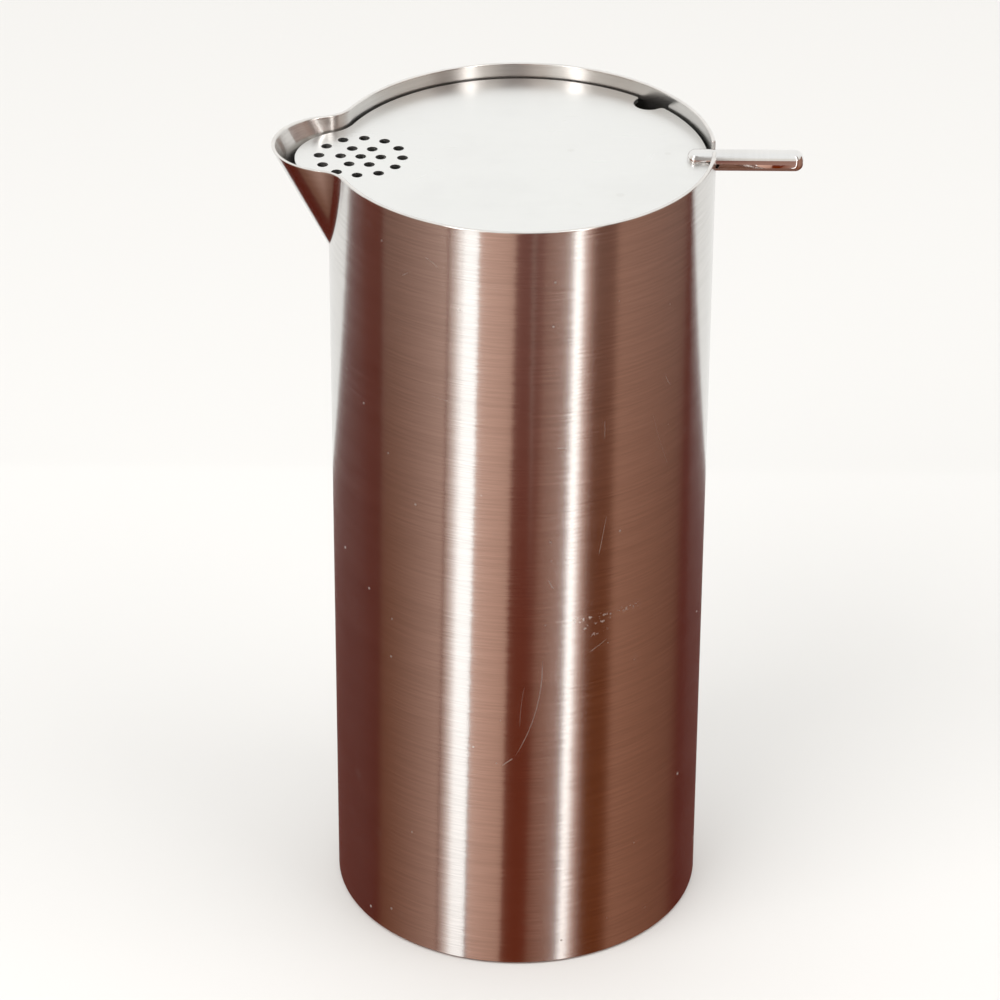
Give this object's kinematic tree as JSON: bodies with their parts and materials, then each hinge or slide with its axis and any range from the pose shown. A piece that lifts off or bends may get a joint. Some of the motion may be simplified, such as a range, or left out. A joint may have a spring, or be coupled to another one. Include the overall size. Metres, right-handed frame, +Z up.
{
  "type": "cocktail mixer with strainer lid",
  "caption": "Straight-sided steel pouring mixer for cocktails, with a formed spout and a lift-off strainer lid that has a handle pin and a spoon notch.",
  "frame": {"origin": "centre of the base plate's underside, on the tube's axis", "axes": "+Z up along the tube, -X towards the pouring spout, +X along the lid's handle pin"},
  "size_m": [0.1372, 0.1, 0.224],
  "materials": {
    "brushed_body": "fine brushing around the tube",
    "satin_lid": "soft satin",
    "polished_pin": "polished"
  },
  "bodies": {
    "vessel": {"body_tube": "brushed_body", "pouring_spout": "brushed_body", "base_plate": "brushed_body"},
    "lid": {"lid_plate": "satin_lid", "lid_handle_pin": "polished_pin"}
  },
  "joints": [
    {"name": "lid_lift", "type": "slide", "parent": "vessel", "child": "lid", "axis": [0, 0, 1], "range_m": [0, 0.04]}
  ]
}
